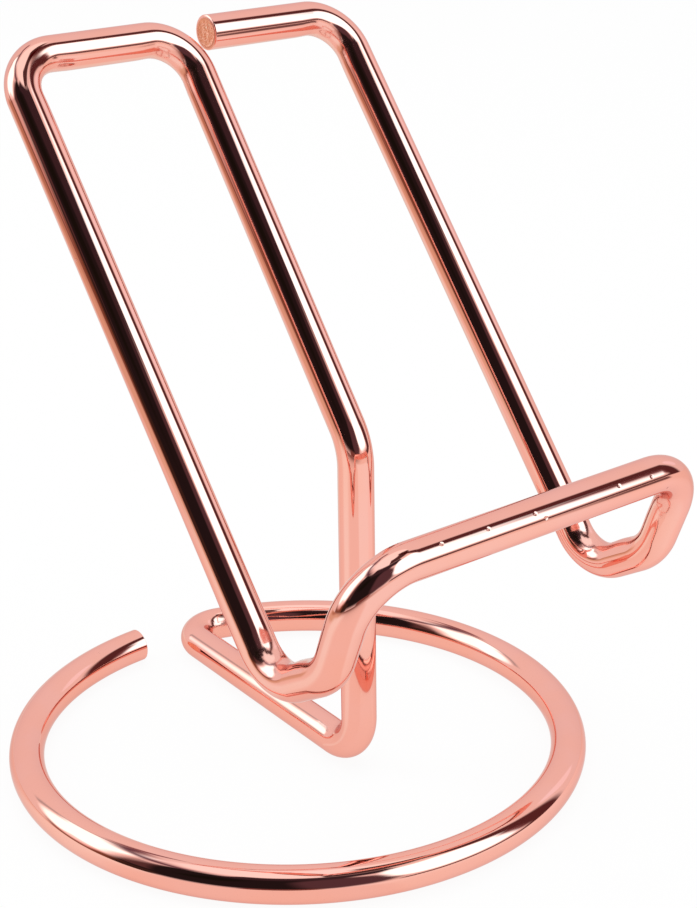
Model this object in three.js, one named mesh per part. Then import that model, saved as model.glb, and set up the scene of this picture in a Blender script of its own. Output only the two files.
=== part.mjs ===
import * as THREE from 'three';

// Wire display stand. One polished metal wire is bent into a leaning back-rest, two hooks joined
// by a front lip, an upright post and a flat base ring. The stretches of the wire are separate
// solids that meet face to face, in the order in which the wire runs.
// Sizes are in millimetres and degrees. +X is the stand's right, +Y its back and +Z up.
// Every height, length and radius is measured on the wire's centreline.

// Driving dimensions
const WIRE_DIAMETER = 5;

// Back-rest: the outer legs stand half the width to each side of X = 0
const REST_WIDTH = 55.5;
const REST_LEAN = 37.75; // from upright
const TOP_HEIGHT = 99.25;
const KNEE_HEIGHT = 49.25;
const HEEL_HEIGHT = 28.5; // corner where each outer leg turns forward
const FREE_END_GAP = 1.5; // from the centre leg's surface to the free end's face

// Cradle: each hook is a shelf that carries the lower edge and a riser up to the front lip
const SHELF_LENGTH = 12.75; // corner to corner
const SHELF_RISE = 29.75; // above level, going forward
const RISER_LENGTH = 15.25; // corner to corner
const RISER_LEAN = 21.5; // from upright, going forward

// Base: the post stands inside the ring, to the left of the rest's middle
const POST_OFFSET = 1.4;
const RING_RADIUS = 39;
const RING_LEFT_OF_POST = 3;
const RING_BEHIND_POST = 10.5;
const SPOKE_TURN = 4; // of the spoke from straight back, towards the right
const RING_END_TURN = 2.5; // of the ring's free end past its rearmost point

// Bend radii
const TOP_BEND_RADIUS = 6.25;
const HEEL_BEND_RADIUS = 6.25;
const TOE_BEND_RADIUS = 8;
const LIP_BEND_RADIUS = 7.5;
const KNEE_BEND_RADIUS = 9;
const FOOT_BEND_RADIUS = 6;
const RIM_BEND_RADIUS = 4.75;

// Cut ends
const END_CHAMFER = 0.35;

// Facets
const WIRE_SIDES = 16; // one side lies flat on the table
const CHORD_ERROR = 0.05; // most that a bend's facets cut into its outer side
const POST_STEPS = 4;

// Finish: polished rose-gold plating
const PLATING = { color: 0xf4b0a2, roughness: 0.08, metalness: 1 };

const WIRE_RADIUS = WIRE_DIAMETER / 2;
const FULL_TURN = 2 * Math.PI;
const REARMOST = FULL_TURN / 4; // direction of +Y, measured from +X
const UP = new THREE.Vector3(0, 0, 1);
const DOWN = new THREE.Vector3(0, 0, -1);
const radians = THREE.MathUtils.degToRad;

/** The wire's section: a regular polygon around the true circle, with one flat side facing +X. */
function wireSection() {
  const cornerRadius = WIRE_RADIUS / Math.cos(Math.PI / WIRE_SIDES);
  const corners = [];
  for (let side = 0; side < WIRE_SIDES; side += 1) {
    const angle = ((side + 0.5) * FULL_TURN) / WIRE_SIDES;
    corners.push(new THREE.Vector2(Math.cos(angle), Math.sin(angle)).multiplyScalar(cornerRadius));
  }
  return new THREE.Shape(corners);
}

/**
 * A length of the wire's centreline in its own frame: it starts at the origin and runs along +Z.
 * Each station holds a point and the turn of the section there, and a scale under 1 narrows it.
 */
class WireLength extends THREE.Curve {
  constructor(stations) {
    super();
    this.stations = stations;
  }

  getSpacedPoints() {
    return this.stations.map((station) => station.point);
  }

  computeFrenetFrames() {
    const along = (axis) => this.stations.map(({ turn, scale }) => (
      new THREE.Vector3(...axis).applyQuaternion(turn).multiplyScalar(scale)
    ));
    return { tangents: along([0, 0, 1]), normals: along([1, 0, 0]), binormals: along([0, 1, 0]) };
  }

  get last() {
    return this.stations.at(-1);
  }
}

/** A straight length; twist turns its section evenly, and an end with a chamfer is narrowed. */
function straight(length, { twist = 0, steps = 1, startChamfer = 0 } = {}) {
  const station = (z, scale = 1) => ({
    point: new THREE.Vector3(0, 0, z),
    turn: new THREE.Quaternion().setFromAxisAngle(UP, (twist * z) / length),
    scale,
  });
  const stations = [station(0, 1 - startChamfer / WIRE_RADIUS)];
  if (startChamfer > 0) {
    stations.push(station(startChamfer));
  }
  for (let step = 1; step <= steps; step += 1) {
    stations.push(station((length * step) / steps));
  }
  return new WireLength(stations);
}

/** An arc of the wire of a given radius and angle; heading is the way it bends, square to +Z. */
function bend(radius, angle, heading, endChamfer = 0) {
  const hinge = new THREE.Vector3().crossVectors(UP, heading);
  const station = (turned, scale = 1) => ({
    point: new THREE.Vector3()
      .addScaledVector(heading, radius * (1 - Math.cos(turned)))
      .addScaledVector(UP, radius * Math.sin(turned)),
    turn: new THREE.Quaternion().setFromAxisAngle(hinge, turned),
    scale,
  });
  const fullAngle = angle - endChamfer / radius;
  const stepAngle = 2 * Math.acos(1 - CHORD_ERROR / (radius + WIRE_RADIUS));
  const steps = Math.ceil(fullAngle / stepAngle);
  const stations = [];
  for (let step = 0; step <= steps; step += 1) {
    stations.push(station((fullAngle * step) / steps));
  }
  if (endChamfer > 0) {
    stations.push(station(angle, 1 - endChamfer / WIRE_RADIUS));
  }
  return new WireLength(stations);
}

/** Follows the wire from its top free end and places each length where the one before it ends. */
class WireBender {
  constructor(start, along, sideways) {
    this.position = start.clone();
    const square = new THREE.Vector3().crossVectors(along, sideways);
    this.rotation = new THREE.Quaternion().setFromRotationMatrix(
      new THREE.Matrix4().makeBasis(sideways, square, along),
    );
    this.section = wireSection();
  }

  get tangent() {
    return UP.clone().applyQuaternion(this.rotation);
  }

  /** A world direction as the present length's own frame sees it. */
  inOwnFrame(direction) {
    return direction.clone().applyQuaternion(this.rotation.clone().invert());
  }

  place(group, name, wireLength) {
    const geometry = new THREE.ExtrudeGeometry(this.section, {
      steps: wireLength.stations.length - 1,
      extrudePath: wireLength,
    });
    const mesh = new THREE.Mesh(geometry, new THREE.MeshStandardMaterial(PLATING));
    mesh.name = name;
    mesh.position.copy(this.position);
    mesh.quaternion.copy(this.rotation);
    group.add(mesh);
    const { point, turn } = wireLength.last;
    this.position.add(point.clone().applyQuaternion(this.rotation));
    this.rotation.multiply(turn);
  }

  /** A straight length as far as the start of a bend, or as far as its own end. */
  runTo(group, name, target, options) {
    this.place(group, name, straight(this.position.distanceTo(target), options));
  }

  /** A bend from the present direction into a new one. */
  bendTo(group, name, direction, radius) {
    const angle = this.tangent.angleTo(direction);
    const heading = this.inOwnFrame(direction).setZ(0).normalize();
    this.place(group, name, bend(radius, angle, heading));
  }

  /** The twist that brings the section's +X side to face a given way at the end of a run. */
  twistTo(facing) {
    const { x, y } = this.inOwnFrame(facing);
    return Math.atan2(y, x);
  }
}

/** Corner points of the wire, where its straight runs would meet if the bends were sharp. */
function wireCorners() {
  const halfWidth = REST_WIDTH / 2;
  const restDepth = (height) => (height - KNEE_HEIGHT) * Math.tan(radians(REST_LEAN));
  const shelfRise = radians(SHELF_RISE);
  const riserLean = radians(RISER_LEAN);
  const topY = restDepth(TOP_HEIGHT);
  const heelY = restDepth(HEEL_HEIGHT);
  const toeY = heelY - SHELF_LENGTH * Math.cos(shelfRise);
  const toeZ = HEEL_HEIGHT + SHELF_LENGTH * Math.sin(shelfRise);
  const lipY = toeY - RISER_LENGTH * Math.sin(riserLean);
  const lipZ = toeZ + RISER_LENGTH * Math.cos(riserLean);
  const corner = (x, y, z) => new THREE.Vector3(x, y, z);
  return {
    freeEnd: corner(WIRE_RADIUS + FREE_END_GAP, topY, TOP_HEIGHT),
    topRight: corner(halfWidth, topY, TOP_HEIGHT),
    rightHeel: corner(halfWidth, heelY, HEEL_HEIGHT),
    rightToe: corner(halfWidth, toeY, toeZ),
    rightLip: corner(halfWidth, lipY, lipZ),
    leftLip: corner(-halfWidth, lipY, lipZ),
    leftToe: corner(-halfWidth, toeY, toeZ),
    leftHeel: corner(-halfWidth, heelY, HEEL_HEIGHT),
    topLeft: corner(-halfWidth, topY, TOP_HEIGHT),
    topCentre: corner(0, topY, TOP_HEIGHT),
    knee: corner(-POST_OFFSET, 0, KNEE_HEIGHT),
    foot: corner(-POST_OFFSET, 0, WIRE_RADIUS),
  };
}

/** Where the spoke's bend starts, so that it touches both the spoke and the base ring. */
function ringJunction(foot) {
  const spoke = new THREE.Vector3(Math.sin(radians(SPOKE_TURN)), Math.cos(radians(SPOKE_TURN)), 0);
  const rightOfSpoke = new THREE.Vector3().crossVectors(spoke, UP);
  const ringCentre = foot.clone().add(new THREE.Vector3(-RING_LEFT_OF_POST, RING_BEHIND_POST, 0));
  const bendLine = foot.clone().addScaledVector(rightOfSpoke, RIM_BEND_RADIUS).sub(ringCentre);
  const inner = RING_RADIUS - RIM_BEND_RADIUS;
  const forward = -bendLine.dot(spoke);
  const spokeLength = forward + Math.sqrt(forward ** 2 - bendLine.lengthSq() + inner ** 2);
  const bendCentre = bendLine.addScaledVector(spoke, spokeLength).add(ringCentre);
  const outward = bendCentre.clone().sub(ringCentre).normalize();
  return {
    spoke,
    spokeEnd: foot.clone().addScaledVector(spoke, spokeLength),
    rimDirection: new THREE.Vector3().crossVectors(outward, UP),
    touchAngle: Math.atan2(outward.y, outward.x),
  };
}

/**
 * The runs as far as the knee, in the wire's order: the group that each belongs to, its name,
 * the name of the bend that ends it, that bend's corner and its radius.
 */
function restAndCradleRuns(corners, groups) {
  const { backRest, cradle } = groups;
  return [
    [backRest, 'free_end_bar', 'top_right_bend', corners.topRight, TOP_BEND_RADIUS],
    [backRest, 'right_leg', 'right_heel_bend', corners.rightHeel, HEEL_BEND_RADIUS],
    [cradle, 'right_shelf', 'right_toe_bend', corners.rightToe, TOE_BEND_RADIUS],
    [cradle, 'right_riser', 'right_lip_bend', corners.rightLip, LIP_BEND_RADIUS],
    [cradle, 'front_lip', 'left_lip_bend', corners.leftLip, LIP_BEND_RADIUS],
    [cradle, 'left_riser', 'left_toe_bend', corners.leftToe, TOE_BEND_RADIUS],
    [cradle, 'left_shelf', 'left_heel_bend', corners.leftHeel, HEEL_BEND_RADIUS],
    [backRest, 'left_leg', 'top_left_bend', corners.topLeft, TOP_BEND_RADIUS],
    [backRest, 'top_left_bar', 'top_centre_bend', corners.topCentre, TOP_BEND_RADIUS],
    [backRest, 'centre_leg', 'knee_bend', corners.knee, KNEE_BEND_RADIUS],
  ];
}

/** Point where the bend at a corner starts, on the line that comes in along a direction. */
function bendStart(corner, inward, outward, radius) {
  const setBack = radius * Math.tan(inward.angleTo(outward) / 2);
  return corner.clone().addScaledVector(inward, -setBack);
}

function buildStand() {
  const groups = { backRest: new THREE.Group(), cradle: new THREE.Group(), base: new THREE.Group() };
  const corners = wireCorners();
  const restFront = new THREE.Vector3(0, -Math.cos(radians(REST_LEAN)), Math.sin(radians(REST_LEAN)));
  const bender = new WireBender(corners.freeEnd, new THREE.Vector3(1, 0, 0), restFront);

  const runs = restAndCradleRuns(corners, groups);
  const exits = [...runs.slice(1).map(([, , , corner]) => corner), corners.foot];
  runs.forEach(([group, runName, bendName, corner, radius], index) => {
    const inward = bender.tangent;
    const outward = exits[index].clone().sub(corner).normalize();
    const options = index === 0 ? { startChamfer: END_CHAMFER } : {};
    bender.runTo(group, runName, bendStart(corner, inward, outward, radius), options);
    bender.bendTo(group, bendName, outward, radius);
  });

  const { spoke, spokeEnd, rimDirection, touchAngle } = ringJunction(corners.foot);
  const postEnd = bendStart(corners.foot, DOWN, spoke, FOOT_BEND_RADIUS);
  const twist = bender.twistTo(spoke.clone().negate());
  bender.runTo(groups.base, 'post', postEnd, { twist, steps: POST_STEPS });
  bender.bendTo(groups.base, 'foot_bend', spoke, FOOT_BEND_RADIUS);
  bender.runTo(groups.base, 'foot_spoke', spokeEnd);
  bender.bendTo(groups.base, 'rim_bend', rimDirection, RIM_BEND_RADIUS);

  const endAngle = REARMOST + radians(RING_END_TURN);
  const ringAngle = touchAngle - endAngle + FULL_TURN;
  const inwardFromRim = bender.inOwnFrame(new THREE.Vector3().crossVectors(rimDirection, UP));
  bender.place(groups.base, 'base_ring', bend(RING_RADIUS, ringAngle, inwardFromRim, END_CHAMFER));

  const stand = new THREE.Group();
  stand.add(...Object.values(groups));
  return stand;
}

/** Moves the stand so that the origin is on the table, under the middle of its bounding box. */
function centreOnFootprint(stand) {
  const box = new THREE.Box3().setFromObject(stand, true);
  const centre = box.getCenter(new THREE.Vector3());
  stand.position.set(-centre.x, -centre.y, -box.min.z);
}

const stand = buildStand();
centreOnFootprint(stand);

export default stand;
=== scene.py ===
"""Looks of the wire display stand: one length of polished rose-gold wire in a pale photo studio.

The wire's line is drawn from the same named sizes as the CAD source, in millimetres and degrees.
Its round skin is swept along that line once, and each named length becomes a closed piece of it.
"""

import logging
import math
from dataclasses import dataclass, field
from enum import Enum
from typing import Callable, ClassVar, Sequence

import bpy
import numpy as np
from mathutils import Matrix, Vector


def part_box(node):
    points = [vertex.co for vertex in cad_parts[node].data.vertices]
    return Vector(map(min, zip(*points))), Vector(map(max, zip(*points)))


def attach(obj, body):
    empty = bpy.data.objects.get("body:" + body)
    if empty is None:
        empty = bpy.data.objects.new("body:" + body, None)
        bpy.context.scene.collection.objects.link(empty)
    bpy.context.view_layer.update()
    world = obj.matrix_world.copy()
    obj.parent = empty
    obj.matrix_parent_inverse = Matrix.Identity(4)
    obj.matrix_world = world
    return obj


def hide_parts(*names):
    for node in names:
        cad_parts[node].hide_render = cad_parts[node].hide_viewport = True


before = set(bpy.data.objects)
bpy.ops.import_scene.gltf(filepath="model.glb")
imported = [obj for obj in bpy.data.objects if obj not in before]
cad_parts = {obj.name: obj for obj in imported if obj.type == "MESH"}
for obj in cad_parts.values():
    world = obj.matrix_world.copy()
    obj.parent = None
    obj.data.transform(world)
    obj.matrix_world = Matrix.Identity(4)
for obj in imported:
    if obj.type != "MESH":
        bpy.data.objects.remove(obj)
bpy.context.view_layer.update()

Array = np.ndarray
Colour = tuple[float, float, float]
Triple = tuple[float, float, float]
Socket = bpy.types.NodeSocket

MM = 0.001
CM_PER_METRE = 100.0
QUARTER_TURN = math.pi / 2
FULL_TURN = 2 * math.pi
HALF_CIRCLE = 180.0  # degrees
UP = np.array((0.0, 0.0, 1.0))
WHITE: Colour = (1.0, 1.0, 1.0)
BODY = "root"
PLACE = "wire_place"  # a point's place on the wire: across, across and along, in metres
STRAIN = "bend_strain"  # 0 on a straight run, 1 on the inner side of a bend
TURNED = "turned_edge"  # 1 on the rounded edge of a cut end, 0 elsewhere

log = logging.getLogger("wire_stand")


def unit(vector: Array) -> Array:
    """The vector or rows of vectors at length 1."""
    return vector / np.linalg.norm(vector, axis=-1, keepdims=True)


def point(x: float, y: float, z: float) -> Array:
    """Three coordinates as an array."""
    return np.array((x, y, z), float)


def angle_between(one: Array, other: Array) -> float:
    """The angle between two unit vectors, in radians."""
    return math.acos(max(-1.0, min(1.0, float(one @ other))))


def smooth(value: Array) -> Array:
    """An S-shaped step from 0 to 1."""
    t = np.clip(value, 0, 1)
    return t * t * (3 - 2 * t)


def round_turn(sides: int) -> Array:
    """The angles of evenly spaced points round a circle, in radians."""
    return np.linspace(0, FULL_TURN, sides, endpoint=False)


def bands(loops: Sequence[Array]) -> list[list[int]]:
    """Four-sided faces between each closed loop of point numbers and the next one."""
    faces = []
    for one, other in zip(loops, loops[1:]):
        faces += np.stack([one, np.roll(one, -1), np.roll(other, -1), other], -1).tolist()
    return faces


def fan(loop: Array, middle: int) -> list[list[int]]:
    """Three-sided faces from a closed loop of point numbers to a middle point."""
    return [[int(one), int(two), middle] for one, two in zip(loop, np.roll(loop, -1))]


def put_in_scene(name: str, data: bpy.types.ID) -> bpy.types.Object:
    """A new object for a mesh, lamp or camera, linked to the scene."""
    made = bpy.data.objects.new(name, data)
    bpy.context.scene.collection.objects.link(made)
    return made


class Shader:
    """A small hand for one node tree: adds nodes by type with their values, and links them."""

    def __init__(self, tree: bpy.types.NodeTree) -> None:
        """Takes the tree and empties it."""
        self.tree = tree
        tree.nodes.clear()

    def add(self, kind: str, values: dict | None = None, **settings: object) -> bpy.types.Node:
        """Adds one node.

        Args:
            kind: The node's type name, without the words ShaderNode.
            values: Numbers or sockets for its inputs, by name or by index.
            settings: The node's own properties.

        Returns:
            The new node.
        """
        node = self.tree.nodes.new("ShaderNode" + kind)
        for name, value in settings.items():
            setattr(node, name, value)
        for key, value in (values or {}).items():
            self.feed(node.inputs[key], value)
        return node

    def feed(self, socket: Socket, value: object) -> None:
        """Links a socket to the input, or writes a number, vector or colour on it."""
        if isinstance(value, bpy.types.NodeSocket):
            self.tree.links.new(value, socket)
        elif isinstance(value, tuple) and socket.type == "RGBA":
            socket.default_value = (*value, 1)
        else:
            socket.default_value = value

    def attribute(self, name: str, output: str = "Fac") -> Socket:
        """What the mesh holds under a name."""
        return self.add("Attribute", attribute_name=name).outputs[output]

    def math(self, operation: str, *values: object) -> Socket:
        """The result of one math node on numbers or sockets."""
        return self.add("Math", dict(enumerate(values)), operation=operation).outputs[0]

    def vector(self, operation: str, *values: object) -> Socket:
        """The vector that one vector math node makes of vectors."""
        return self.add("VectorMath", dict(enumerate(values)), operation=operation).outputs[0]

    def total(self, *products: tuple[object, object]) -> Socket:
        """The sum of the products of pairs of numbers or sockets."""
        made: object = 0.0
        for one, other in products:
            made = self.math("MULTIPLY_ADD", one, other, made)
        return made

    def ramp(self, value: object, low: float, high: float, out: tuple[float, float] = (0, 1),
             interpolation: str = "SMOOTHSTEP") -> Socket:
        """A value between two limits carried to the range out, and held level outside them."""
        limits = {"Value": value, "From Min": low, "From Max": high, "To Min": out[0], "To Max": out[1]}
        return self.add("MapRange", limits, interpolation_type=interpolation).outputs["Result"]

    def mix(self, share: object, one: object, other: object) -> Socket:
        """The colour that lies between two by a share."""
        values = {"Factor": share, 6: one, 7: other}  # 6 and 7 are the node's colour inputs
        return self.add("Mix", values, data_type="RGBA").outputs[2]


class Group:
    """A shader node group with named inputs and a named output, built once and placed where used."""

    def __init__(self, name: str, inputs: dict[str, float | None], output: str,
                 build: Callable[[Shader, dict[str, Socket]], Socket]) -> None:
        """Builds the group.

        Args:
            name: The group's name.
            inputs: Each input's starting number, or None for a vector.
            output: The name of its output, a number.
            build: Makes the inside from a Shader and the inputs, and returns the output.
        """
        self.tree = bpy.data.node_groups.new(name, "ShaderNodeTree")
        for key, value in inputs.items():
            kind = "NodeSocketVector" if value is None else "NodeSocketFloat"
            socket = self.tree.interface.new_socket(key, in_out="INPUT", socket_type=kind)
            if value is not None:
                socket.default_value = value
        self.tree.interface.new_socket(output, in_out="OUTPUT", socket_type="NodeSocketFloat")
        shader = Shader(self.tree)
        entry = self.tree.nodes.new("NodeGroupInput")
        leave = self.tree.nodes.new("NodeGroupOutput")
        made = build(shader, {key: entry.outputs[key] for key in inputs})
        shader.feed(leave.inputs[output], made)

    def place(self, shader: Shader, **values: object) -> Socket:
        """Puts the group in a material with its own values, and returns its output."""
        node = shader.add("Group", node_tree=self.tree)
        for key, value in values.items():
            shader.feed(node.inputs[key.replace("_", " ")], value)
        return node.outputs[0]


def scaled_place(shader: Shader, inputs: dict[str, Socket]) -> Socket:
    """A group's place, measured in the pattern's own unit."""
    return shader.add("VectorMath", {0: inputs["Place"], "Scale": inputs["Scale"]},
                      operation="SCALE").outputs["Vector"]


def grain_inside(shader: Shader, inputs: dict[str, Socket]) -> Socket:
    """Fine grain of worked metal, as a height from 0 to 1: noise with finer pits in it."""
    pits_per_grain, pit_floor, pit_rim = 1.7, 0.05, 0.45
    place = scaled_place(shader, inputs)
    noise = shader.add("TexNoise", {"Vector": place, "Scale": 1.0, "Detail": 3.0,
                                    "Roughness": inputs["Roughness"]})
    pits = shader.add("TexVoronoi", {"Vector": place, "Scale": pits_per_grain, "Randomness": 1.0})
    hollow = shader.ramp(pits.outputs["Distance"], pit_floor, pit_rim)
    return shader.math("MULTIPLY", noise.outputs["Fac"], hollow)


def specks_inside(shader: Shader, inputs: dict[str, Socket]) -> Socket:
    """Scattered specks: a few of the cells of a pattern hold one small round spot."""
    smallest, soft_from = 0.4, 0.5  # of the largest speck's size, and of a speck's own radius
    cells = shader.add("TexVoronoi", {"Vector": scaled_place(shader, inputs), "Scale": 1.0,
                                      "Randomness": 1.0})
    chance = shader.add("SeparateColor", {0: cells.outputs["Color"]}).outputs
    chosen = shader.math("LESS_THAN", chance[0], inputs["Share"])
    size = shader.math("MULTIPLY", inputs["Size"], shader.ramp(chance[1], 0, 1, (smallest, 1)))
    near = shader.math("DIVIDE", cells.outputs["Distance"], size)
    return shader.math("MULTIPLY", chosen, shader.ramp(near, soft_from, 1, (1, 0)))


def panel_inside(shader: Shader, inputs: dict[str, Socket]) -> Socket:
    """The mask of a panel with round corners and a soft edge."""
    rise = shader.math("SUBTRACT", inputs["Up"], inputs["Centre Up"])
    middle = shader.math("MULTIPLY_ADD", rise, inputs["Lean"], inputs["Centre Across"])
    offset = shader.math("WRAP", shader.math("SUBTRACT", inputs["Across"], middle),
                         HALF_CIRCLE, -HALF_CIRCLE)
    squares = []
    for away, half in ((offset, "Half Width"), (rise, "Half Height")):
        inner = shader.math("SUBTRACT", inputs[half], inputs["Corner"])
        over = shader.math("SUBTRACT", shader.math("ABSOLUTE", away), inner)
        over = shader.math("MAXIMUM", over, 0.0)
        squares.append((over, over))
    beyond = shader.math("SUBTRACT", shader.math("SQRT", shader.total(*squares)), inputs["Corner"])
    share = shader.math("DIVIDE", beyond, inputs["Softness"])
    return shader.ramp(share, -0.5, 0.5, (1, 0))


def new_material(name: str) -> tuple[bpy.types.Material, Shader]:
    """A new material with an empty node tree, and a hand for the tree."""
    made = bpy.data.materials.new(name)
    made.use_nodes = True
    return made, Shader(made.node_tree)


def bumped_metal(shader: Shader, height: Socket, colour: Socket, roughness: Socket,
                 tint: Colour = WHITE) -> None:
    """Ends a metal's node tree with its bump, from a height in metres, and its surface."""
    bump = shader.add("Bump", {"Strength": 1.0, "Distance": 1.0, "Height": height})
    surface = shader.add("BsdfPrincipled", {"Base Color": colour, "Metallic": 1.0,
                                            "Roughness": roughness, "Specular Tint": tint,
                                            "Normal": bump.outputs[0]})
    shader.add("OutputMaterial", {"Surface": surface.outputs[0]})


@dataclass(frozen=True)
class RosePlating:
    """Polished rose-gold plating over drawn wire, with the marks of drawing and bending."""

    face: Colour = (0.915, 0.435, 0.364)
    warm: Colour = (0.925, 0.425, 0.342)
    edge_tint: Colour = (0.82, 0.69, 0.69)
    cloud_scale: float = 110.0  # clouds of tone and wear to a metre
    cloud_tone: tuple[float, float] = (0.35, 0.65)  # of the cloud's range
    cloud_wear: tuple[float, float] = (0.3, 0.7)
    polish: float = 0.035
    polish_wear: float = 0.03
    speck_roughness: float = 0.35
    strain_roughness: float = 0.11
    edge_roughness: float = 0.12
    wave_length: float = 7.0  # mm along the wire
    wave_height: float = 0.016  # mm
    lines: Triple = (2600.0, 2600.0, 28.0)  # drawing lines to a metre: across, across and along
    line_height: float = 0.0006  # mm, of the fine lines that the drawing die leaves
    drag_height: float = 0.005  # mm, of the same lines where the bending tool dragged
    speck_scale: float = 700.0  # cells to a metre
    speck_share: float = 0.018
    speck_size: float = 0.26  # of a cell
    speck_height: float = 0.012  # mm
    grain_scale: float = 560.0  # grains to a metre
    grain_fineness: float = 0.35
    strain_height: float = 0.012  # mm, of the grain that a bend raises
    nick_depth: float = 0.05  # mm
    nick_roughness: float = 0.25
    nick_width: float = 0.3  # mm, half of it across the wire
    nick_length: float = 0.4  # mm, half of it along the wire
    nick_floor: float = 0.2  # share of a nick that is flat
    nicks: tuple[Triple, ...] = ((0.56, -2.44, 177.8), (0.39, -2.47, 170.5), (0.22, -2.49, 162.9),
                                 (-0.73, -2.39, 161.5), (0.0, -2.5, 148.5), (-0.3, -2.48, 142.7),
                                 (-2.23, -1.13, 139.4))  # on the front lip, in wire places, mm

    def material(self, grain: Group, specks: Group) -> bpy.types.Material:
        """Builds the material.

        Args:
            grain: The shared grain of worked metal.
            specks: The shared scattered specks.

        Returns:
            The finished material.
        """
        made, shader = new_material("rose_gold_plating")
        place = shader.attribute(PLACE, "Vector")
        strain, turned = shader.attribute(STRAIN), shader.attribute(TURNED)
        wave = shader.add("TexNoise", {"Vector": place, "Scale": 1 / (self.wave_length * MM),
                                       "Detail": 1.0, "Roughness": 0.4}).outputs["Fac"]
        stretched = shader.add("Mapping", {"Vector": place, "Scale": self.lines}).outputs[0]
        lines = shader.add("TexNoise", {"Vector": stretched, "Scale": 1.0, "Detail": 2.0,
                                        "Roughness": 0.6}).outputs["Fac"]
        deep = shader.ramp(strain, 0, 1, (self.line_height * MM, self.drag_height * MM), "LINEAR")
        worked = grain.place(shader, Place=place, Scale=self.grain_scale,
                             Roughness=self.grain_fineness)
        dots = specks.place(shader, Place=place, Scale=self.speck_scale, Share=self.speck_share,
                            Size=self.speck_size)
        nicked = self.nicked(shader, place)
        height = shader.total((wave, self.wave_height * MM), (lines, deep),
                              (shader.math("MULTIPLY", worked, strain), self.strain_height * MM),
                              (dots, self.speck_height * MM), (nicked, -self.nick_depth * MM))

        cloud = shader.add("TexNoise", {"Vector": place, "Scale": self.cloud_scale,
                                        "Detail": 3.0}).outputs[0]
        colour = shader.mix(shader.ramp(cloud, *self.cloud_tone), self.face, self.warm)
        worn = shader.ramp(cloud, *self.cloud_wear, (self.polish, self.polish + self.polish_wear))
        rough = shader.total((worn, 1.0), (strain, self.strain_roughness),
                             (dots, self.speck_roughness), (nicked, self.nick_roughness),
                             (turned, self.edge_roughness))
        bumped_metal(shader, height, colour, rough, self.edge_tint)
        return made

    def nicked(self, shader: Shader, place: Socket) -> Socket:
        """Where the lip was knocked in use: 1 in the middle of each small dent, 0 elsewhere."""
        size = (self.nick_width * MM, self.nick_width * MM, self.nick_length * MM)
        mask: object = 0.0
        for nick in self.nicks:
            away = shader.vector("SUBTRACT", place, tuple(value * MM for value in nick))
            away = shader.vector("DIVIDE", away, size)
            gap = shader.add("VectorMath", {0: away}, operation="LENGTH").outputs["Value"]
            mask = shader.math("MAXIMUM", mask, shader.ramp(gap, self.nick_floor, 1, (1, 0)))
        return mask


@dataclass(frozen=True)
class ShearedEnd:
    """The cut face of a wire end: grainy metal that the plating covers thinly."""

    pale: Colour = (1.0, 0.46, 0.32)
    copper: Colour = (0.8, 0.24, 0.12)
    bright: Colour = (1.0, 0.7, 0.56)
    grain_scale: float = 1250.0  # grains to a metre
    grain_fineness: float = 0.4
    grain_height: float = 0.035  # mm
    copper_shows: tuple[float, float] = (0.16, 0.5)  # of the grain's height
    speck_scale: float = 1300.0  # cells to a metre
    speck_share: float = 0.3
    speck_size: float = 0.45  # of a cell
    speck_strength: float = 0.8
    dull_grain: tuple[float, float] = (0.1, 0.6)  # of its height
    roughness: tuple[float, float] = (0.45, 0.28)

    def material(self, grain: Group, specks: Group) -> bpy.types.Material:
        """Builds the material from the shared grain and the shared specks."""
        made, shader = new_material("sheared_wire_end")
        place = shader.attribute(PLACE, "Vector")
        worked = grain.place(shader, Place=place, Scale=self.grain_scale,
                             Roughness=self.grain_fineness)
        dots = specks.place(shader, Place=place, Scale=self.speck_scale, Share=self.speck_share,
                            Size=self.speck_size)
        colour = shader.mix(shader.ramp(worked, *self.copper_shows), self.copper, self.pale)
        colour = shader.mix(shader.math("MULTIPLY", dots, self.speck_strength), colour, self.bright)
        bumped_metal(shader, shader.math("MULTIPLY", worked, self.grain_height * MM), colour,
                     shader.ramp(worked, *self.dull_grain, self.roughness))
        return made


@dataclass(frozen=True)
class Finishes:
    """The two finishes of the wire, in the order of their material slots."""

    plating: bpy.types.Material
    cut: bpy.types.Material


class WirePart(Enum):
    """Which of a piece's faces a material slot dresses."""

    SKIN = 0
    CUT_FACE = 1


@dataclass
class WireLength:
    """One named stretch of the wire's line, as stations in millimetres."""

    name: str
    points: Array
    tangents: Array
    bent: bool  # sharply enough to work the metal


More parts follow.
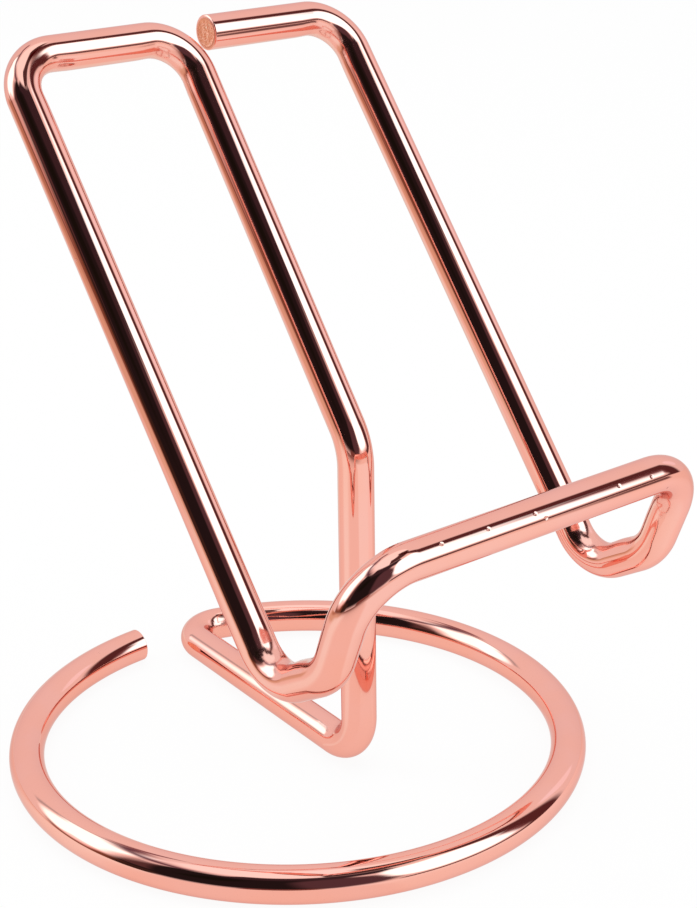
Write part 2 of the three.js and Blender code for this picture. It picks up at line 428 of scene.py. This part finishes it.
@dataclass
class WireLine:
    """Follows the wire from its top free end, one straight run or bend after the other."""

    position: Array
    tangent: Array
    run_step: float = 1.0
    bend_step: float = 3.0  # degrees
    lengths: list[WireLength] = field(default_factory=list)

    def run_to(self, name: str, target: Array) -> None:
        """A straight run from the present point to the target."""
        distance = float(np.linalg.norm(target - self.position))
        steps = max(2, math.ceil(distance / self.run_step))
        points = self.position + (target - self.position) * np.linspace(0, 1, steps + 1)[:, None]
        tangents = np.repeat(self.tangent[None], steps + 1, 0)
        self.lengths.append(WireLength(name, points, tangents, False))
        self.position = target.copy()

    def arc(self, name: str, radius: float, angle: float, heading: Array,
            bent: bool = True, step: float | None = None) -> None:
        """A bend of a given radius and angle.

        Args:
            name: The stretch's name.
            radius: Bend radius on the centreline, in mm.
            angle: How far it turns, in radians.
            heading: The direction it bends towards, square to the present one.
            bent: False for the wide ring, which is rolled and not bent sharply.
            step: Degrees between stations, if not the usual.
        """
        steps = math.ceil(math.degrees(angle) / (step or self.bend_step))
        turned = np.linspace(0, angle, steps + 1)[:, None]
        points = self.position + radius * (heading * (1 - np.cos(turned))
                                           + self.tangent * np.sin(turned))
        tangents = self.tangent * np.cos(turned) + heading * np.sin(turned)
        self.lengths.append(WireLength(name, points, tangents, bent))
        self.position, self.tangent = points[-1].copy(), unit(tangents[-1])

    def bend_to(self, name: str, direction: Array, radius: float) -> None:
        """A bend from the present direction into a new one."""
        heading = unit(direction - self.tangent * float(self.tangent @ direction))
        self.arc(name, radius, angle_between(self.tangent, direction), heading)

    def bend_start(self, corner: Array, onward: Array, radius: float) -> Array:
        """Where a bend of that radius leaves the present direction before a corner."""
        return corner - self.tangent * radius * math.tan(angle_between(self.tangent, onward) / 2)

    def turn_corner(self, run: str, bend: str, corner: Array, following: Array,
                    radius: float) -> None:
        """A run as far as the bend at a corner, and the bend, towards the following corner."""
        onward = unit(following - corner)
        self.run_to(run, self.bend_start(corner, onward, radius))
        self.bend_to(bend, onward, radius)


@dataclass
class WireSkin:
    """The round skin of the whole wire, swept along its line once.

    Each length takes its own rings from it, so that neighbours share the ring and the shading
    where they meet. Sizes are in mm.
    """

    diameter: float = 5.0
    sides: int = 48
    edge_depth: float = 0.16  # of a cut end's turned edge along the wire
    edge_width: float = 0.5  # of the same edge across the wire
    edge_rings: int = 7
    edge_steepest: float = 100.0  # limit on how steep its shading gets
    straight_end: float = 4.0  # beside each cut end, with no bend in it
    strain_reach: float = 2.5  # how far past a bend the metal is still marked
    outer_strain: float = 0.06  # of the inner side's strain, left on the outer side
    strain_from: float = 0.25  # how squarely a point faces the bend's middle where strain starts
    strain_span: float = 0.7  # and over what more of that it becomes full
    pressed: float = 0.1  # how flat the bending pin presses the inner side
    cut_rings: int = 14
    cut_relief: float = 0.05
    first_across: Triple = (0.0, 1.0, 0.3)  # any direction not along the wire's first run

    def sweep(self, lengths: list[WireLength], origin: Array) -> None:
        """Lays rings of points, their shading directions and their wire places.

        Args:
            lengths: The wire's lengths in order, which meet end to end.
            origin: Where the line's zero lies in the frame, in mm.
        """
        self._turn_edge(lengths[0], 1)
        self._turn_edge(lengths[-1], -1)
        points, tangents, bent = [], [], []
        self.spans: dict[str, tuple[int, int]] = {}
        count = 0
        for length in lengths:
            shared = 1 if points else 0
            own = len(length.points) - shared
            self.spans[length.name] = (count - shared, count + own)
            points.append(length.points[shared:])
            tangents.append(length.tangents[shared:])
            bent.append(np.full(own, length.bent))
            count += own
        self.line = line = np.concatenate(points) + origin
        self.along = along = unit(np.concatenate(tangents))
        steps = np.linalg.norm(np.diff(line, axis=0), axis=1)
        travelled = np.concatenate(([0.0], np.cumsum(steps)))
        across, up = self._carry_frames(along)
        turn = round_turn(self.sides)
        circle = np.stack([np.cos(turn), np.sin(turn)], -1)
        self.outward = across[:, None] * circle[None, :, :1] + up[:, None] * circle[None, :, 1:]
        self.strain, inner = self._worked(np.concatenate(bent), along, travelled)
        from_end = np.minimum(travelled, travelled[-1] - travelled)
        radius = self._radii(from_end) - self.pressed * self.strain * inner ** 2
        self.rings = line[:, None] + self.outward * radius[..., None]
        self.turned = (from_end < self.edge_depth * 0.99).astype(float)
        self.shading = self._shading(along, radius, travelled, from_end)
        self.places = np.concatenate([np.repeat(circle[None] * self.diameter / 2, len(line), 0),
                                      np.repeat(travelled[:, None, None], self.sides, 1)], -1)

    def _turn_edge(self, length: WireLength, onward: int) -> None:
        """Adds the turned edge's close stations where the wire starts (onward 1) or ends (-1)."""
        points, tangents = length.points[::onward], length.tangents[::onward]
        depth = self.edge_depth * (1 - np.cos(np.linspace(0, QUARTER_TURN, self.edge_rings)))
        close = points[0] + tangents[0] * onward * depth[:, None]
        points = np.concatenate([close, points[1:]])
        tangents = np.concatenate([np.repeat(tangents[:1], self.edge_rings, 0), tangents[1:]])
        length.points, length.tangents = points[::onward], tangents[::onward]

    def _carry_frames(self, along: Array) -> tuple[Array, Array]:
        """Directions across the wire that turn with it and never twist about it."""
        across = np.zeros_like(along)
        across[0] = unit(np.cross(along[0], self.first_across))
        for index in range(1, len(along)):
            carried = across[index - 1] - along[index] * float(across[index - 1] @ along[index])
            across[index] = unit(carried)
        return across, np.cross(along, across)

    def _worked(self, bent: Array, along: Array, travelled: Array) -> tuple[Array, Array]:
        """How much bending worked the metal at each ring point.

        Args:
            bent: Which stations lie in a sharp bend.
            along: The wire's direction at each station.
            travelled: How far along the wire each station is.

        Returns:
            The strain, from 0 to 1 on the inner side of a bend, and how squarely each point faces
            the bend's middle, from 0 to 1.
        """
        away = np.abs(travelled[:, None] - travelled[bent])
        inward = unit(np.gradient(along, axis=0)[bent])[away.argmin(1)]
        facing = np.einsum("rsk,rk->rs", self.outward, inward)
        reach = smooth(1 - away.min(1) / self.strain_reach)[:, None]
        inner = smooth((facing - self.strain_from) / self.strain_span)
        share = self.outer_strain + (1 - self.outer_strain) * inner
        return reach * share, np.clip(facing, 0, 1)

    def _radii(self, from_end: Array) -> Array:
        """The radius at each ring point before bending: the wire's, less over the turned edges."""
        inside = np.clip(1 - from_end / self.edge_depth, 0, 1)
        radius = self.diameter / 2 - self.edge_width * (1 - np.sqrt(1 - inside ** 2))
        return np.repeat(radius[:, None], self.sides, 1)

    def _shading(self, along: Array, radius: Array, travelled: Array, from_end: Array) -> Array:
        """The true outward direction of the skin at each ring point."""
        slope = np.gradient(radius, travelled, axis=0)
        inside = 1 - np.minimum(from_end / self.edge_depth, 1)
        steep = inside / np.sqrt(np.maximum(1 - inside ** 2, 1 / self.edge_steepest ** 2))
        steep = steep * self.edge_width / self.edge_depth
        steep = np.where(travelled < travelled[-1] / 2, steep, -steep)
        near = from_end < self.edge_depth + self.straight_end
        slope = np.where(near[:, None], steep[:, None], slope)
        beside = np.roll(radius, -1, 1) - np.roll(radius, 1, 1)
        beside = beside / (2 * FULL_TURN / self.sides * radius)
        sideways = np.cross(along[:, None], self.outward)
        return unit(self.outward - along[:, None] * slope[..., None] - sideways * beside[..., None])

    def cut_face(self, station: int, direction: Array, seed: float) -> tuple[Array, Array]:
        """A sheared end face: rings of points towards the middle, a little uneven inwards.

        Args:
            station: The station of the face.
            direction: The face's outward direction.
            seed: Sets the pattern of its unevenness.

        Returns:
            The points inside the edge, with the middle point last, and their wire places.
        """
        edge, centre, turn = self.rings[station], self.line[station], round_turn(self.sides)
        mean_depth, waviness, fine_share = 0.8, 0.5, 0.6
        points, places = [], []
        for ring in range(1, self.cut_rings):
            share = 1 - ring / self.cut_rings
            x, y = share * np.cos(turn), share * np.sin(turn)
            coarse = np.sin(9 * x + 5 * y + seed) * np.sin(7 * y - 4 * x + 2 * seed)
            fine = np.sin(19 * x - 13 * y + seed) * np.sin(17 * y + 11 * x)
            depth = mean_depth + waviness * (coarse + fine_share * fine)
            depth = self.cut_relief * depth * min(1.0, ring / 2)
            points.append(centre + (edge - centre) * share - direction * depth[:, None])
            places.append(np.stack([x, y, np.full_like(x, seed / 9)], -1))
        points.append((centre - direction * self.cut_relief)[None])
        places.append(np.array([[0, 0, seed / 9]]))
        return np.concatenate(points), np.concatenate(places) * self.diameter / 2


@dataclass
class WirePiece:
    """One closed solid piece of the wire, from the skin's rings between two stations."""

    name: str
    skin: WireSkin
    relief_seeds: ClassVar[dict[int, float]] = {-1: 1.0, 1: 4.0}  # by which way the face looks

    def mesh(self) -> bpy.types.Mesh:
        """Builds the piece's mesh in metres, with its shading, places and material faces."""
        skin, sides = self.skin, self.skin.sides
        start, stop = skin.spans[self.name]
        points = [skin.rings[start:stop].reshape(-1, 3)]
        places = [skin.places[start:stop].reshape(-1, 3)]
        loops = np.arange((stop - start) * sides).reshape(-1, sides)
        faces = bands(loops)
        normals = [skin.shading[start:stop].reshape(-1, 3)[np.ravel(faces)]]
        slots = [WirePart.SKIN.value] * len(faces)
        total = loops.size
        for station, edge, onward in ((start, loops[0], -1), (stop - 1, loops[-1], 1)):
            direction = skin.along[station] * onward
            if 0 < station < len(skin.line) - 1:
                faces.append(edge[::onward].tolist())
                normals.append(np.repeat(direction[None], sides, 0))
                slots.append(WirePart.SKIN.value)
                continue
            cut, cut_places = skin.cut_face(station, direction, self.relief_seeds[onward])
            inner = total + np.arange(len(cut) - 1).reshape(-1, sides)
            total += len(cut)
            made = bands([edge, *inner]) + fan(inner[-1], total - 1)
            points.append(cut)
            places.append(cut_places)
            faces += [face[::onward] for face in made]
            normals.append(np.zeros((sum(map(len, made)), 3)))  # left for Blender to work out
            slots += [WirePart.CUT_FACE.value] * len(made)
        mesh = bpy.data.meshes.new(self.name + "_wire")
        mesh.from_pydata((np.concatenate(points) * MM).tolist(), [], faces)
        mesh.polygons.foreach_set("material_index", slots)
        mesh.polygons.foreach_set("use_smooth", [True] * len(faces))
        place = mesh.attributes.new(PLACE, "FLOAT_VECTOR", "POINT")
        place.data.foreach_set("vector", (np.concatenate(places) * MM).astype(np.float32).ravel())
        for name, values in ((STRAIN, skin.strain[start:stop].ravel()),
                             (TURNED, np.repeat(skin.turned[start:stop], sides))):
            held = mesh.attributes.new(name, "FLOAT", "POINT")
            held.data.foreach_set("value", np.pad(values, (0, total - loops.size)).astype(np.float32))
        mesh.update()
        mesh.normals_split_custom_set(np.concatenate(normals).tolist())
        return mesh

    def build(self, finishes: Finishes) -> bpy.types.Object:
        """Makes the object, dresses it and hands it to the frame in place of its CAD length."""
        mesh = self.mesh()
        mesh.materials.append(finishes.plating)
        mesh.materials.append(finishes.cut)
        made = put_in_scene(self.name + "_skin", mesh)
        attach(made, BODY)
        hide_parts(self.name)
        return made


@dataclass
class SubAssembly:
    """A part of the stand, which is made of some of the wire's lengths."""

    names: ClassVar[tuple[str, ...]] = ()

    def build(self, skin: WireSkin, finishes: Finishes) -> list[bpy.types.Object]:
        """Makes the sub-assembly's pieces."""
        return [WirePiece(name, skin).build(finishes) for name in self.names]


@dataclass
class BackRest(SubAssembly):
    """Three leaning legs and the two top bars that join them."""

    width: float = 55.5
    lean: float = 37.75  # from upright
    top_height: float = 99.25
    knee_height: float = 49.25
    heel_height: float = 28.5
    free_end_gap: float = 1.5
    top_bend_radius: float = 6.25
    knee_bend_radius: float = 9.0
    names = (
        "free_end_bar", "top_right_bend", "right_leg", "left_leg", "top_left_bend", "top_left_bar",
        "top_centre_bend", "centre_leg", "knee_bend")

    def depth(self, height: float) -> float:
        """How far back the rest's plane is at a height."""
        return (height - self.knee_height) * math.tan(math.radians(self.lean))

    def top(self, x: float) -> Array:
        """The point of the top edge at x."""
        return point(x, self.depth(self.top_height), self.top_height)

    def heel(self, side: int) -> Array:
        """The corner where a side's leg turns forward; side is 1 for right and -1 for left."""
        return point(side * self.width / 2, self.depth(self.heel_height), self.heel_height)


@dataclass
class Cradle(SubAssembly):
    """Two hooks joined by a front lip, which carry the lower edge of what stands on the rest."""

    shelf_length: float = 12.75
    shelf_rise: float = 29.75  # above level, going forward
    riser_length: float = 15.25
    riser_lean: float = 21.5  # from upright, going forward
    heel_bend_radius: float = 6.25
    toe_bend_radius: float = 8.0
    lip_bend_radius: float = 7.5
    names = (
        "right_heel_bend", "right_shelf", "right_toe_bend", "right_riser", "right_lip_bend",
        "front_lip", "left_lip_bend", "left_riser", "left_toe_bend", "left_shelf", "left_heel_bend")

    def hook(self, heel: Array) -> list[tuple[Array, float]]:
        """A hook's corners from its heel to the lip, each with its bend radius."""
        rise, lean = math.radians(self.shelf_rise), math.radians(self.riser_lean)
        toe = heel + point(0, -math.cos(rise), math.sin(rise)) * self.shelf_length
        lip = toe + point(0, -math.sin(lean), math.cos(lean)) * self.riser_length
        return [(heel, self.heel_bend_radius), (toe, self.toe_bend_radius),
                (lip, self.lip_bend_radius)]


@dataclass
class Base(SubAssembly):
    """The post, the spoke on the table and the open ring that it runs into."""

    post_offset: float = 1.4
    ring_radius: float = 39.0
    ring_left_of_post: float = 3.0
    ring_behind_post: float = 10.5
    spoke_turn: float = 4.0
    ring_end_turn: float = 2.5
    foot_bend_radius: float = 6.0
    rim_bend_radius: float = 4.75
    ring_step: float = 1.2  # degrees between the ring's stations
    names = ("post", "foot_bend", "foot_spoke", "rim_bend", "base_ring")

    def corner(self, height: float) -> Array:
        """The post's corner at a height: its knee above, its foot below."""
        return point(-self.post_offset, 0, height)

    def draw(self, line: WireLine, foot: Array) -> None:
        """Draws the line from the knee bend's end to the ring's free end."""
        turn = math.radians(self.spoke_turn)
        spoke = point(math.sin(turn), math.cos(turn), 0)
        ring_centre = foot + point(-self.ring_left_of_post, self.ring_behind_post, 0)
        start = foot + np.cross(spoke, UP) * self.rim_bend_radius - ring_centre
        inner = self.ring_radius - self.rim_bend_radius
        forward = -float(start @ spoke)
        spoke_length = forward + math.sqrt(forward ** 2 - float(start @ start) + inner ** 2)
        outward = unit(start + spoke * spoke_length)
        line.run_to("post", line.bend_start(foot, spoke, self.foot_bend_radius))
        line.bend_to("foot_bend", spoke, self.foot_bend_radius)
        line.run_to("foot_spoke", foot + spoke * spoke_length)
        line.bend_to("rim_bend", np.cross(outward, UP), self.rim_bend_radius)
        touch = math.atan2(outward[1], outward[0])
        sweep = touch - (QUARTER_TURN + math.radians(self.ring_end_turn)) + FULL_TURN
        line.arc("base_ring", self.ring_radius, sweep, -outward, bent=False, step=self.ring_step)


@dataclass
class Stand:
    """The whole stand: its sub-assemblies and the one wire that they share."""

    rest: BackRest
    cradle: Cradle
    base: Base
    skin: WireSkin

    def draw(self) -> list[WireLength]:
        """The wire's line from the top free end to the ring's free end."""
        rest, cradle, base = self.rest, self.cradle, self.base
        radius, half = self.skin.diameter / 2, rest.width / 2
        turns = [(rest.top(half), rest.top_bend_radius), *cradle.hook(rest.heel(1)),
                 *cradle.hook(rest.heel(-1))[::-1], (rest.top(-half), rest.top_bend_radius),
                 (rest.top(0), rest.top_bend_radius),
                 (base.corner(rest.knee_height), rest.knee_bend_radius)]
        foot = base.corner(radius)
        following = [corner for corner, _ in turns[1:]] + [foot]
        names = rest.names[:3] + cradle.names + rest.names[3:]  # each run and then its bend
        line = WireLine(rest.top(radius + rest.free_end_gap), point(1, 0, 0))
        for run, bend, (corner, bend_radius), onward in zip(names[::2], names[1::2], turns, following):
            line.turn_corner(run, bend, corner, onward, bend_radius)
        base.draw(line, foot)
        return line.lengths

    def origin(self) -> Array:
        """Where the drawing's zero lies in the frame, in mm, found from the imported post."""
        low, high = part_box("post")
        middle = np.array((low + high) / 2) / MM
        return point(middle[0] + self.base.post_offset, middle[1], 0)

    def build(self, finishes: Finishes) -> None:
        """Draws the wire, sweeps its skin, and makes and reports every piece."""
        self.skin.sweep(self.draw(), self.origin())
        for part in (self.rest, self.cradle, self.base):
            pieces = part.build(self.skin, finishes)
            log.info("%s: %d pieces", type(part).__name__, len(pieces))
            for piece in pieces:
                log.info("  %s: %d faces", piece.name, len(piece.data.polygons))


@dataclass(frozen=True)
class Panel:
    """A soft-edged patch of painted reflection, shade or sheen that polished metal sees, placed by
    direction.

    Across is azimuth in degrees, from the object's back (0) over its right (90) to its front
    (180). Up is elevation in degrees on the backdrop, and distance in cm on the floor.
    """

    name: str
    centre: tuple[float, float]
    half: tuple[float, float]
    corner: float
    softness: float
    colour: Colour
    lean: float = 0.0  # how far across its middle moves for each step up

    def over(self, group: Group, shader: Shader, across: Socket, up: Socket,
             under: object) -> Socket:
        """Lays the panel over a colour, by the two coordinates that place it."""
        mask = group.place(shader, Across=across, Up=up, Centre_Across=self.centre[0],
                           Centre_Up=self.centre[1], Half_Width=self.half[0],
                           Half_Height=self.half[1], Corner=self.corner, Softness=self.softness,
                           Lean=self.lean)
        return shader.mix(mask, under, self.colour)


@dataclass(frozen=True)
class Lamp:
    """A square soft lamp, placed by direction as the panels are."""

    name: str
    azimuth: float
    elevation: float
    size: float
    energy: float


def shown_rays(shader: Shader) -> Socket:
    """1 for a ray that shows something: to the camera, or by way of metal or glass."""
    rays = shader.add("LightPath").outputs
    seen_in = shader.math("MAXIMUM", rays["Is Glossy Ray"], rays["Is Transmission Ray"])
    return shader.math("MAXIMUM", rays["Is Camera Ray"], seen_in)


@dataclass
class Studio:
    """Camera, pale floor, plain lamps, and the studio's panels painted as reflections on a backdrop
    round the table.
    """

    eye: Triple = (-0.1508427, -0.196706, 0.141521)
    forward: Triple = (0.57489604, 0.73981178, -0.34953264)
    upward: Triple = (0.23186901, 0.26237085, 0.93669541)
    lens: float = 77.11
    sensor: float = 36.0
    shift: tuple[float, float] = (0.04127, -0.01978)
    clip: tuple[float, float] = (0.01, 20.0)
    lamps: tuple[Lamp, ...] = (Lamp("overhead_lamp", 0, 88, 1.6, 14.0),
                               Lamp("left_lamp", -47, 33, 0.8, 4.0),
                               Lamp("right_lamp", 155, 33, 0.8, 4.0))
    lamp_distance: float = 1.5
    plain_light: float = 0.55  # strength of the light from all round
    floor_radius: float = 3.0
    floor_sides: int = 64
    floor_paper: Colour = (0.85, 0.85, 0.85)
    floor_glow: float = 0.93  # share of the floor that shows plain white behind its faint shadow
    backdrop_radius: float = 1.4
    backdrop_middle: float = 0.05  # height of the round backdrop's middle
    backdrop_foot: float = -6.0  # degrees below that middle
    backdrop_rings: int = 48
    backdrop_sides: int = 144
    backdrop_tone: Colour = (0.948, 0.984, 1.000)
    # Painted reflections on the glowing backdrop: bright panels for the softboxes, dark ones for the
    # dim room and the dark edges and gaps between.
    panels: tuple[Panel, ...] = (
        Panel("overhead", (-30.0, 91.4), (200.0, 24.9), 1.0, 9.5, (1.29, 1.64, 1.71)),
        Panel("dark_room", (-117.6, 29.3), (45.2, 28.7), 5.3, 9.5, (0.017, 0.014, 0.016), -0.14),
        Panel("dark_room_top", (-149.9, 58.4), (46.1, 7.0), 3.3, 5.3, (0.044, 0.029, 0.039), -0.32),
        Panel("warm_corner", (-159.0, 25.5), (18.0, 24.6), 14.6, 9.5, (0.097, 0.06, 0.077), 0.12),
        Panel("camera_glow", (-135.7, -1.5), (14.6, 5.5), 5.0, 5.0, (0.2, 0.085, 0.075)),
        Panel("left_gap", (-60.1, 3.7), (20.6, 7.9), 5.4, 9.5, (0.22, 0.1, 0.06), 0.36),
        Panel("left_box", (-43.2, 33.7), (19.4, 27.8), 19.4, 9.5, (1.8, 2.6, 2.8), 0.24),
        Panel("left_box_top", (-20.0, 47.0), (8.5, 8.0), 8.0, 6.0, (1.8, 2.6, 2.8)),
        Panel("left_box_rim", (-39.9, 56.3), (40.9, 3.7), 3.1, 9.5, (0.081, 0, 0.05), -1.83),
        Panel("left_box_corner", (8.0, 53.5), (9.0, 3.2), 3.0, 4.0, (0.27, 0.16, 0.19)),
        Panel("left_box_edge", (-14.5, 38.9), (0.8, 15.3), 0.8, 9.5, (0.179, 0.278, 0.332), 0.42),
        Panel("right_gap", (150.0, -1.0), (32.0, 3.9), 2.0, 5.0, (0.09, 0.04, 0.045)),
        Panel("right_box", (153.5, 32.0), (30.5, 25.0), 19.0, 6.0, (1.7, 2.7, 3.0)),
        Panel("right_box_side", (126.5, 22.0), (6.0, 13.0), 5.0, 7.0, (0.25, 0.14, 0.16)),
        Panel("right_box_rim", (117.5, 33.0), (10.3, 43.0), 8.0, 8.0, (0.1, 0.036, 0.04)),
        Panel("right_box_arc", (143.1, 72.6), (57.9, 7.2), 1.4, 3.6, (0.048, 0, 0), -0.25),
        Panel("left_box_side", (-75.9, 31.6), (4.9, 13.7), 0.5, 9.5, (0.16, 0.09, 0.095), 0.28),
        Panel("right_wall", (93.3, 25.3), (7.0, 11.4), 7.0, 3.0, (1.06, 1.17, 1.29), 0.07),
        Panel("dark_room_middle", (-106.5, 37.3), (10.1, 8.9), 6.3, 9.5, (0.01, 0.01, 0.008), -0.48),
        Panel("left_box_foot", (-56.0, 9.1), (7.9, 5.0), 0.6, 9.4, (0.946, 0.651, 0.608), -0.53),
        Panel("left_gap_end", (-81.0, 4.0), (9.5, 7.0), 5.0, 7.0, (0.045, 0.028, 0.022)),
    )
    floor_tone: Colour = (0.991, 0.949, 0.894)
    # Painted shade and painted sheen on the floor, which only reflections show: the darker table and
    # box marks are painted shade, the sheen marks painted light.
    floor_marks: tuple[Panel, ...] = (
        Panel("left_floor_shade", (-57.0, 82.4), (28.8, 64.8), 8.7, 10.5, (0.76, 0.62, 0.46), -0.11),
        Panel("far_left_floor_shade", (-55.7, 156.0), (10.3, 111.6), 10.3, 32.1, (0.42, 0.2, 0.1), -0.17),
        Panel("front_floor_shade", (-108.8, 117.3), (41.6, 80.3), 41.4, 60.0, (0.217, 0.117, 0.099), 0.20),
        Panel("far_right_floor_shade", (146.0, 146.0), (34.0, 58.0), 20.0, 12.0, (0.28, 0.15, 0.16)),
        Panel("middle_right_floor_shade", (142.0, 90.0), (9.0, 22.0), 6.0, 8.0, (0.12, 0.06, 0.065)),
        Panel("right_box_shade", (135.5, 40.0), (5.5, 17.0), 5.0, 6.0, (0.12, 0.06, 0.065)),
        Panel("front_sheen", (173.0, 17.7), (31.6, 12.3), 1.7, 10.8, (1.07, 1.24, 1.26), 0.50),
        Panel("left_sheen", (-78.9, 14.9), (18.3, 15.3), 7.5, 26.3, (1.05, 1.23, 1.21), -0.14),
        Panel("back_sheen", (18.4, 22.4), (29.7, 15.4), 2.2, 5.8, (1, 1.28, 1.25), -0.14),
        Panel("right_sheen", (125.1, 10.8), (17.9, 6.5), 6.5, 12.4, (1.06, 1.09, 1.08)),
    )

    def __post_init__(self) -> None:
        """Builds the node group that draws every panel and floor mark."""
        names = ("Across", "Up", "Centre Across", "Centre Up", "Half Width", "Half Height",
                 "Corner", "Softness", "Lean")
        self.panel_group = Group("studio_panel", dict.fromkeys(names, 1.0), "Mask", panel_inside)

    def place_camera(self) -> None:
        """Puts the camera where the photograph was taken from."""
        data = bpy.data.cameras.new("photo_camera")
        data.lens, data.sensor_width, data.sensor_fit = self.lens, self.sensor, "AUTO"
        data.shift_x, data.shift_y = self.shift
        data.clip_start, data.clip_end = self.clip
        back, up = -Vector(self.forward), Vector(self.upward)
        right = up.cross(back).normalized()
        matrix = Matrix((right, back.cross(right), back)).transposed().to_4x4()
        matrix.translation = Vector(self.eye)
        made = put_in_scene("photo_camera", data)
        made.matrix_world = matrix
        bpy.context.scene.camera = made

    def hang_lamps(self) -> None:
        """Hangs wide soft lamps at a plain level; the panels stand for them in reflections."""
        for lamp in self.lamps:
            data = bpy.data.lights.new(lamp.name, "AREA")
            data.shape, data.size, data.energy = "SQUARE", lamp.size, lamp.energy
            a, e = math.radians(lamp.azimuth), math.radians(lamp.elevation)
            away = Vector((math.sin(a) * math.cos(e), math.cos(a) * math.cos(e), math.sin(e)))
            made = put_in_scene(lamp.name, data)
            made.location = away * self.lamp_distance
            made.rotation_mode = "QUATERNION"
            made.rotation_quaternion = away.to_track_quat("Z", "Y")
            made.visible_glossy = made.visible_camera = False

    def light_world(self) -> None:
        """Sets white behind the object and a plain level of light from all round."""
        world = bpy.data.worlds.new("pale_studio")
        bpy.context.scene.world = world
        world.use_nodes = True
        shader = Shader(world.node_tree)
        shown = shown_rays(shader)
        plain = shader.add("Background", {"Color": WHITE, "Strength": self.plain_light})
        white = shader.add("Background", {"Color": WHITE, "Strength": 1.0})
        both = shader.add("MixShader", {0: shown, 1: plain.outputs[0], 2: white.outputs[0]})
        shader.add("OutputWorld", {"Surface": both.outputs[0]})

    def painted(self, shader: Shader, marks: tuple[Panel, ...], tone: Colour, axes: Sequence[Socket],
                up: Socket) -> Socket:
        """Paints panels over a tone, by the azimuth of two axes and by height or distance."""
        azimuth = shader.math("DEGREES", shader.math("ARCTAN2", axes[0], axes[1]))
        painted: object = tone
        for mark in marks:
            painted = mark.over(self.panel_group, shader, azimuth, up, painted)
        return painted

    def hang_backdrop(self) -> None:
        """Hangs a round glowing backdrop that only polished metal sees, with the studio's panels
        painted on it as reflections.
        """
        rings, sides = self.backdrop_rings, self.backdrop_sides
        heights = np.radians(np.linspace(self.backdrop_foot, 90, rings + 1))[:-1]
        corners = [(math.cos(t) * math.cos(h), math.sin(t) * math.cos(h), math.sin(h))
                   for h in heights for t in round_turn(sides)] + [tuple(UP)]
        loops = np.arange(rings * sides).reshape(rings, sides)
        mesh = bpy.data.meshes.new("backdrop")
        points = np.array(corners) * self.backdrop_radius + UP * self.backdrop_middle
        mesh.from_pydata(points.tolist(), [], bands(loops[::-1]) + fan(loops[-1][::-1], loops.size))
        made = put_in_scene("backdrop", mesh)
        made.visible_camera = made.visible_diffuse = made.visible_shadow = False
        material, shader = new_material("studio_backdrop")
        place = shader.add("NewGeometry").outputs["Position"]
        middle = shader.add("CombineXYZ", {2: self.backdrop_middle}).outputs[0]
        away = shader.vector("NORMALIZE", shader.vector("SUBTRACT", place, middle))
        axes = shader.add("SeparateXYZ", {0: away}).outputs
        elevation = shader.math("DEGREES", shader.math("ARCSINE", axes[2]))
        seen = self.painted(shader, self.panels, self.backdrop_tone, axes, elevation)
        glow = shader.add("Emission", {"Color": seen, "Strength": 1.0})
        shader.add("OutputMaterial", {"Surface": glow.outputs[0]})
        mesh.materials.append(material)

    def lay_floor(self) -> None:
        """Lays a pale table top that runs on to the horizon and keeps a faint shadow; in reflections it
        shows painted shade and painted sheen.
        """
        corners = [(self.floor_radius * math.cos(a), self.floor_radius * math.sin(a), 0)
                   for a in round_turn(self.floor_sides)]
        mesh = bpy.data.meshes.new("floor")
        mesh.from_pydata(corners, [], [list(range(len(corners)))])
        made = put_in_scene("floor", mesh)
        material, shader = new_material("pale_floor")
        axes = shader.add("SeparateXYZ", {0: shader.add("NewGeometry").outputs["Position"]}).outputs
        away = shader.math("SQRT", shader.total((axes[0], axes[0]), (axes[1], axes[1])))
        away = shader.math("MULTIPLY", away, CM_PER_METRE)
        # The floor marks paint shade and sheen into the tone that reflections see; the camera sees
        # plain white.
        tone = self.painted(shader, self.floor_marks, self.floor_tone, axes, away)
        tone = shader.mix(shader.add("LightPath").outputs["Is Camera Ray"], tone, WHITE)
        paper = shader.add("BsdfDiffuse", {"Color": self.floor_paper})
        white = shader.add("Emission", {"Color": tone, "Strength": 1.0})
        glow = shader.math("MULTIPLY", shown_rays(shader), self.floor_glow)
        mixed = shader.add("MixShader", {0: glow, 1: paper.outputs[0], 2: white.outputs[0]})
        shader.add("OutputMaterial", {"Surface": mixed.outputs[0]})
        mesh.materials.append(material)

    def build(self) -> None:
        """Sets the studio up."""
        self.place_camera()
        self.lay_floor()
        self.hang_backdrop()
        self.hang_lamps()
        self.light_world()
        bpy.context.scene.view_settings.view_transform = "Standard"


def main() -> None:
    """Builds the stand and its studio, and reports each piece."""
    logging.basicConfig(level=logging.INFO, format="%(name)s %(message)s")
    grain = Group("worked_grain", {"Place": None, "Scale": 1000.0, "Roughness": 0.5}, "Height",
                  grain_inside)
    specks = Group("scattered_specks", {"Place": None, "Scale": 1000.0, "Share": 0.1, "Size": 0.2},
                   "Mask", specks_inside)
    finishes = Finishes(RosePlating().material(grain, specks), ShearedEnd().material(grain, specks))
    Studio().build()
    Stand(BackRest(), Cradle(), Base(), WireSkin()).build(finishes)


if __name__ == "__main__":
    main()
